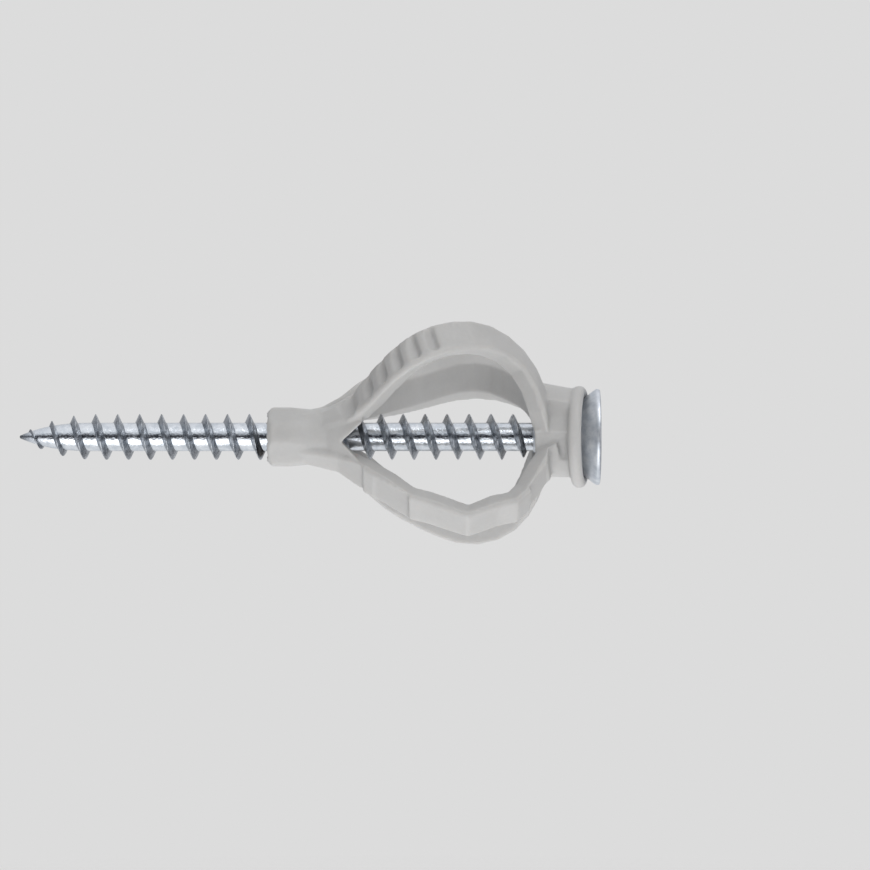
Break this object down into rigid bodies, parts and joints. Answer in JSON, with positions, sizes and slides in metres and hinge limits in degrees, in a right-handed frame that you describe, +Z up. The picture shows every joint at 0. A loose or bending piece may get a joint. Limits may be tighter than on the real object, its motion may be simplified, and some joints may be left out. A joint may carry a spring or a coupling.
{
  "type": "wall plug",
  "caption": "Nylon universal wall plug set by its countersunk screw: rim and collar for the drilled hole, legs bowed out behind the wall, nose sleeve formed on the thread.",
  "frame": {"origin": "centre of the rim's underside, where the plug rests on the wall face", "axes": "+X along the collar, out of the wall toward the screw head; +Z up; the screw leans 8 degrees from +X about Z, tip toward -Y"},
  "size_m": [0.0598, 0.0233, 0.0231],
  "materials": {
    "nylon": "moulded natural grey nylon, semi-matt",
    "zinc": "bright zinc plate, faintly blue"
  },
  "bodies": {
    "plug": {"plug": "nylon"},
    "screw": {"screw": "zinc"}
  },
  "joints": [
    {"name": "screw_turn", "type": "hinge", "parent": "plug", "child": "screw", "pos_m": [0, 0, 0], "axis": [0.9903, 0.1392, 0], "continuous": true}
  ]
}
